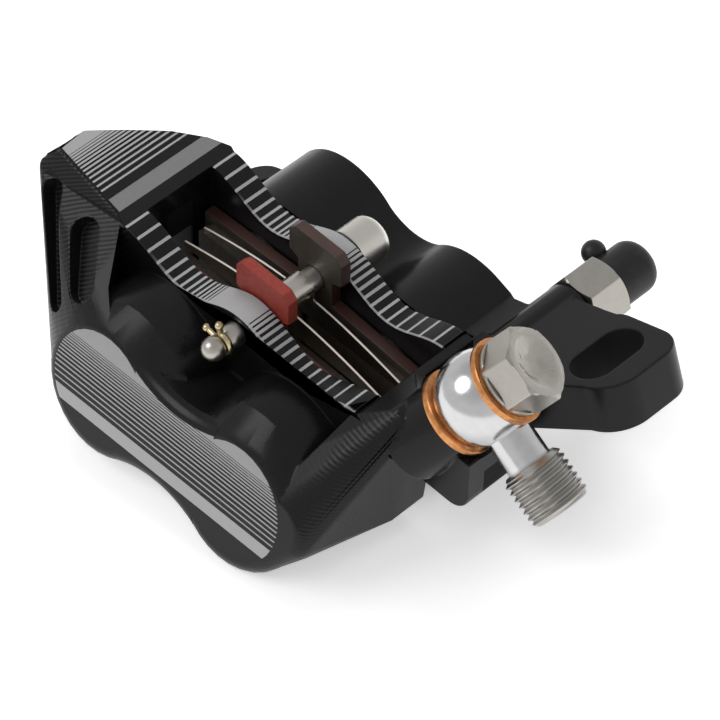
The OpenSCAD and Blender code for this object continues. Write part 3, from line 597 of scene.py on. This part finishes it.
def turning(name, profile):
    """Draws a profile of (radius, height) pairs in millimetres, by extruding a point."""
    bpy.ops.object.select_all(action="DESELECT")
    bpy.ops.mesh.primitive_plane_add(size=MM)
    piece = bpy.context.active_object
    piece.name = name
    bpy.ops.object.mode_set(mode="EDIT")
    bpy.ops.mesh.select_mode(type="VERT")
    bpy.ops.mesh.select_all(action="SELECT")
    bpy.ops.mesh.merge(type="CENTER")
    start = profile[0]
    bpy.ops.transform.translate(value=(start[0] * MM, 0, start[1] * MM))
    for (r0, z0), (r1, z1) in zip(profile, profile[1:]):
        bpy.ops.mesh.extrude_region_move(
            TRANSFORM_OT_translate={"value": ((r1 - r0) * MM, 0, (z1 - z0) * MM)})
    bpy.ops.object.mode_set(mode="OBJECT")
    return piece


def weld(piece, gap):
    """Joins points closer than a gap in metres, and turns all faces outwards."""
    alone(piece)
    bpy.ops.object.mode_set(mode="EDIT")
    bpy.ops.mesh.select_all(action="SELECT")
    bpy.ops.mesh.remove_doubles(threshold=gap)
    bpy.ops.mesh.normals_make_consistent(inside=False)
    bpy.ops.object.mode_set(mode="OBJECT")
    return piece


def spun(piece, steps=64):
    """Turns a profile round Z into a closed shell."""
    alone(piece)
    bpy.ops.object.mode_set(mode="EDIT")
    bpy.ops.mesh.select_all(action="SELECT")
    bpy.ops.mesh.spin(steps=steps, angle=2 * math.pi, center=(0, 0, 0), axis=(0, 0, 1))
    bpy.ops.object.mode_set(mode="OBJECT")
    return weld(piece, 2e-6)


def screwed(piece, pitch, steps=64):
    """Winds a profile round Z once, rising by its pitch, and welds the turns."""
    alone(piece)
    screw = piece.modifiers.new("winding", "SCREW")
    screw.axis = "Z"
    screw.angle = 2 * math.pi
    screw.screw_offset = pitch * MM
    screw.steps = steps
    screw.render_steps = steps
    screw.use_merge_vertices = True
    bpy.ops.object.modifier_apply(modifier=screw.name)
    return piece


def combine(piece, tool, operation):
    """Cuts a piece by a tool, or keeps what both share, and drops the tool."""
    alone(piece)
    cut = piece.modifiers.new("cut", "BOOLEAN")
    cut.operation = operation
    cut.solver = "EXACT"
    cut.object = tool
    bpy.ops.object.modifier_apply(modifier=cut.name)
    bpy.data.objects.remove(tool)
    return piece


def close_ends(piece):
    """Closes the open ends of a tube, and turns its faces outwards."""
    alone(piece)
    bpy.ops.object.mode_set(mode="EDIT")
    bpy.ops.mesh.select_all(action="SELECT")
    bpy.ops.mesh.fill_holes(sides=0)
    bpy.ops.mesh.normals_make_consistent(inside=False)
    bpy.ops.object.mode_set(mode="OBJECT")
    return piece


def neck_place():
    """The place of a piece drawn along Z from the middle of the banjo's eye."""
    turn = Matrix((BOLT_AXIS, NECK_AXIS.cross(BOLT_AXIS), NECK_AXIS)).transposed().to_4x4()
    return Matrix.Translation(EYE_CENTRE) @ turn


def hose_thread():
    """The cut thread on the hose end of the banjo, chamfered and bored."""
    turns = int((THREAD_END - THREAD_START) / THREAD_PITCH) + 4
    low = THREAD_START - 2 * THREAD_PITCH
    profile = []
    for i in range(turns):
        foot = low + i * THREAD_PITCH
        profile += [(THREAD_ROOT_R, foot), (THREAD_ROOT_R, foot + 0.1 * THREAD_PITCH),
                    (THREAD_R, foot + 0.48 * THREAD_PITCH), (THREAD_R, foot + 0.62 * THREAD_PITCH)]
    profile.append((THREAD_ROOT_R, low + turns * THREAD_PITCH))
    wound = screwed(turning("hose_thread", profile), THREAD_PITCH)
    weld(wound, 5e-6)
    close_ends(wound)
    slim = THREAD_R - THREAD_CHAMFER
    blank = spun(turning("blank", [
        (HOSE_BORE_R, THREAD_FOOT), (slim + THREAD_FOOT - THREAD_START, THREAD_FOOT),
        (THREAD_R + 0.02, THREAD_START + THREAD_CHAMFER + 0.02),
        (THREAD_R + 0.02, THREAD_END - THREAD_CHAMFER - 0.02), (slim, THREAD_END - 0.01),
        (HOSE_BORE_R + 0.5, THREAD_END - 0.01), (HOSE_BORE_R, THREAD_END - 0.5),
        (HOSE_BORE_R, THREAD_FOOT)]))
    combine(wound, blank, "INTERSECT")
    wound.matrix_world = neck_place()
    settle(wound, 28)
    wound.data.materials.append(finish_of["polished_alloy"])
    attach(wound, "banjo")
    return wound


def banjo_eye():
    """The round eye and neck of the banjo, cut off inside the thread."""
    eye = copy_of("banjo_fitting", "banjo_eye")
    beyond = spun(turning("beyond", [
        (HOSE_BORE_R / 2, NECK_CUT), (2 * THREAD_R, NECK_CUT), (2 * THREAD_R, 2 * THREAD_END),
        (HOSE_BORE_R / 2, 2 * THREAD_END), (HOSE_BORE_R / 2, NECK_CUT)]))
    beyond.matrix_world = neck_place()
    combine(eye, beyond, "DIFFERENCE")
    settle(eye, 30)
    return dress(eye, "banjo_fitting")


def looks(f):
    """Two readings: 1 where the camera looks, and 1 where a mirror or glass looks."""
    camera, mirror, glass = (f.node("ShaderNodeLightPath", result=ray)
                             for ray in ("Is Camera Ray", "Is Glossy Ray", "Is Transmission Ray"))
    return camera, mirror.math("MAXIMUM", glass)


def floor_finish():
    """White paper: lit like the part, and lifted to plain white away from the shadow; the lift is
    withheld under the part and smaller near it, as painted shade.
    """
    f = Finish.named("white_paper")
    t = f.along(turned(1, 0, 0), placed(PAINTED_SHADE_T, 0, 0)) * (1 / PAINTED_SHADE_HALF_T)
    a = f.along(turned(0, 1, 0), placed(0, PAINTED_SHADE_A, 0)) * (1 / PAINTED_SHADE_HALF_A)
    reach = (t * t + a * a).math("SQRT")
    # No lift under the part and less near it: painted shade on the floor.
    clear = reach.ramp(0.75, 1.05)
    far_from_painted_shade = reach.ramp(2.5, 9.0)
    paper = f.node("ShaderNodeBsdfDiffuse", {}, {"Color": (0.94, 0.94, 0.94, 1)})
    camera, mirror = looks(f)
    seen = far_from_painted_shade * (1 - LIFT_SEEN) + LIFT_SEEN
    lift = clear * (camera * seen + mirror * LIFT_MIRRORED)
    glow = f.node("ShaderNodeEmission", {}, {"Color": (1, 1, 1, 1), "Strength": lift})
    both = f.node("ShaderNodeAddShader", {}, {0: paper, 1: glow})
    f.node("ShaderNodeOutputMaterial", {}, {"Surface": both}, None)
    return f.owner


def lay_floor():
    """The white floor under the part."""
    side = FLOOR_NORMAL.orthogonal().normalized()
    bpy.ops.object.select_all(action="DESELECT")
    bpy.ops.mesh.primitive_plane_add(size=3.0)
    floor = bpy.context.active_object
    floor.name = "white_floor"
    turn = Matrix((side, FLOOR_NORMAL.cross(side), FLOOR_NORMAL)).transposed().to_4x4()
    floor.matrix_world = Matrix.Translation(FLOOR_NORMAL * FLOOR_LEVEL) @ turn
    floor.data.materials.append(floor_finish())
    settle(floor)


def light_world():
    """White to the camera; mirrors see pale walls and a dim ceiling, and things get an even light."""
    world = bpy.data.worlds.new("studio")
    bpy.context.scene.world = world
    f = Finish(world, "Generated")
    height = f.dot(f.place, FLOOR_NORMAL)
    mirrored = height.ramp(0.30, 0.80) * (CEILING - WALLS) + WALLS
    camera, mirror = looks(f)
    strength = camera * (1 - ROOM_LIGHT) + mirror * (mirrored - ROOM_LIGHT) + ROOM_LIGHT
    sky = f.node("ShaderNodeBackground", {}, {"Color": (1, 1, 1, 1), "Strength": strength})
    f.node("ShaderNodeOutputWorld", {}, {"Surface": sky}, None)


def softbox(name, right, up, back, size, power, mirrored=True):
    """A round lamp, placed as the camera sees it, in metres from the part's middle."""
    lamp = bpy.data.lights.new(name, "AREA")
    lamp.shape = "DISK"
    lamp.size = size
    lamp.energy = power
    holder = bpy.data.objects.new(name, lamp)
    bpy.context.scene.collection.objects.link(holder)
    middle = placed(0, 0, -8)
    reach = turned(*CAMERA_RIGHT) * right + turned(*CAMERA_UP) * up + turned(*CAMERA_BACK) * back
    holder.location = middle + reach
    holder.rotation_mode = "QUATERNION"
    holder.rotation_quaternion = reach.to_track_quat("Z", "Y")
    holder.visible_glossy = mirrored


def set_camera():
    """The camera at the photograph's place."""
    camera = bpy.data.cameras.new("photo_camera")
    camera.sensor_width = 36
    camera.lens = CAMERA_LENS
    camera.clip_start = 0.05
    camera.clip_end = 20
    holder = bpy.data.objects.new("photo_camera", camera)
    bpy.context.scene.collection.objects.link(holder)
    axes = (turned(*CAMERA_RIGHT), turned(*CAMERA_UP), turned(*CAMERA_BACK))
    holder.matrix_world = Matrix.Translation(placed(*CAMERA_PLACE)) @ Matrix(axes).transposed().to_4x4()
    bpy.context.scene.camera = holder


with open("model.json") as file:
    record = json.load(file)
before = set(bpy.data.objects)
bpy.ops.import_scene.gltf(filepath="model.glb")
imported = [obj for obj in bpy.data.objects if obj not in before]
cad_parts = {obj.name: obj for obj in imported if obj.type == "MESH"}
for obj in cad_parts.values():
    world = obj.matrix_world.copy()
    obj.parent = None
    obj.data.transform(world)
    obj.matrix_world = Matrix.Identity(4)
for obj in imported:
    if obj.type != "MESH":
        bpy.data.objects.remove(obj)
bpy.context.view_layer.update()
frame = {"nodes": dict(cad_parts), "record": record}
slot_of = {part["node"]: part["material_slot"] for part in frame["record"]["subparts"]}
bodies = frame["record"]["behaviour"]["bodies"]
body_of = {node: body for body, nodes in bodies.items() for node in nodes}
finish_of = {
    "anodised_body": anodised_body(),
    "anodised_cap": anodised_cap(),
    "seal_rubber": black_rubber("seal_rubber", 0.010),
    "piston_steel": ground_steel(),
    "pad_paint": pad_paint(),
    "pad_friction": pad_friction(),
    "spring_steel": spring_strip(),
    "titanium": titanium(),
    "clip_wire": clip_wire(),
    "polished_alloy": polished_alloy(),
    "copper": copper(),
    "cap_rubber": black_rubber("cap_rubber", 0.009),
}

set_camera()
lay_floor()
light_world()
softbox("key", -0.70, 0.42, 0.57, 0.60, 2.4)
softbox("fill", -0.22, 0.20, 0.95, 0.45, 1.2, mirrored=False)
softbox("overhead", 0.05, 0.95, 0.30, 0.68, 3.4, mirrored=False)

for node, solid in frame["nodes"].items():
    solid.data.materials.clear()
    solid.data.materials.append(finish_of[slot_of[node]])

rounded("caliper_body", 0.35)
for node in ("banjo_bolt", "bleed_screw", "near_pad_plate", "far_pad_plate"):
    rounded(node, 0.18)
for node in ("pad_pin", "pin_clip", "bleed_cap", "banjo_washer_inner", "banjo_washer_outer"):
    rounded(node, 0.1)
banjo_eye()
hose_thread()

bpy.context.scene.view_settings.view_transform = "Standard"
